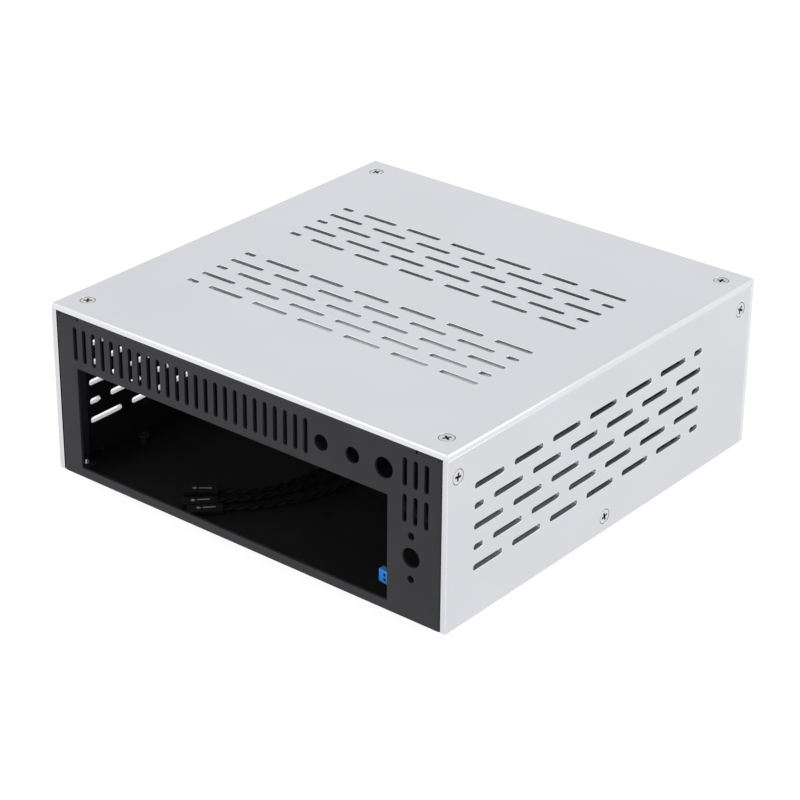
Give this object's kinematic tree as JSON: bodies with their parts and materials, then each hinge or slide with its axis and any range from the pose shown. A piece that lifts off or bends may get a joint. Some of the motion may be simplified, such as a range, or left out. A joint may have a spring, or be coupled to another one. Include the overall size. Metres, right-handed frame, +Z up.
{
  "type": "mini-itx desktop computer case",
  "caption": "Small low desktop computer case with slotted aluminium panels, black rear panel with connector opening, push button and loose leads inside.",
  "frame": {"origin": "middle of the footprint, on the surface that the rubber feet stand on", "axes": "+Z up; the front panel with the power button faces -Y; the black rear panel with the connector opening faces +Y; +X is on the right of a person who looks at the front panel"},
  "size_m": [0.199, 0.199, 0.0774],
  "materials": {
    "brushed_aluminium": "fine brushed, clear anodised, black inside",
    "turned_aluminium": "turned, clear anodised",
    "black_sheet": "fine black powder coat on steel sheet",
    "black_fittings": "pressed in before the powder coat",
    "screw_steel": "nickel plated",
    "switch_steel": "turned stainless steel",
    "socket_shell": "bright tin plated sheet",
    "contact_brass": "gold flashed brass",
    "black_rubber": "matte moulded rubber",
    "cable_jacket": "soft matte jacket",
    "black_plastic": "fine moulded texture",
    "blue_plastic": "moulded blue plastic",
    "circuit_board": "glass epoxy with solder mask",
    "green_lens": "diffused green lamp body",
    "red_lens": "diffused red lamp body"
  },
  "bodies": {
    "case": {"left_side_panel": "brushed_aluminium", "right_side_panel": "brushed_aluminium", "left_side_screws": "screw_steel", "right_side_screws": "screw_steel", "front_panel": "brushed_aluminium", "front_panel_nuts": "screw_steel", "front_bulkhead": "black_sheet", "rear_panel": "black_sheet", "base_tray": "black_sheet", "tray_screws": "screw_steel", "clinch_nuts": "black_fittings", "board_standoffs": "black_fittings", "rubber_feet": "black_rubber", "switch_spring": "screw_steel", "switch_housing": "switch_steel", "switch_seal": "black_rubber", "switch_nut": "switch_steel", "switch_terminals": "contact_brass", "power_light": "green_lens", "drive_light": "red_lens", "light_clips": "black_plastic", "usb_board": "circuit_board", "usb_board_screws": "screw_steel", "usb_shell_left": "socket_shell", "usb_shell_right": "socket_shell", "usb_tongue_left": "blue_plastic", "usb_tongue_right": "blue_plastic", "usb_cable_relief": "black_plastic", "usb_cable": "cable_jacket", "usb_plug": "blue_plastic", "usb_plug_hood": "black_plastic", "power_switch_lead": "cable_jacket", "power_light_lead": "cable_jacket", "drive_light_lead": "cable_jacket", "power_switch_plug": "black_plastic", "power_light_plug": "black_plastic", "drive_light_plug": "black_plastic"},
    "cover": {"top_cover": "brushed_aluminium", "top_cover_screws": "screw_steel"},
    "button": {"power_button": "turned_aluminium", "contact_bridge": "contact_brass"}
  },
  "joints": [
    {"name": "button_press", "type": "slide", "parent": "case", "child": "button", "axis": [0, 1, 0], "range_m": [0, 0.001], "stiffness_N_per_m": 600, "springref_m": -0.002, "deforming": ["switch_spring"]},
    {"name": "cover_lift", "type": "slide", "parent": "case", "child": "cover", "axis": [0, 0, 1], "range_m": [0, 0.12]}
  ]
}
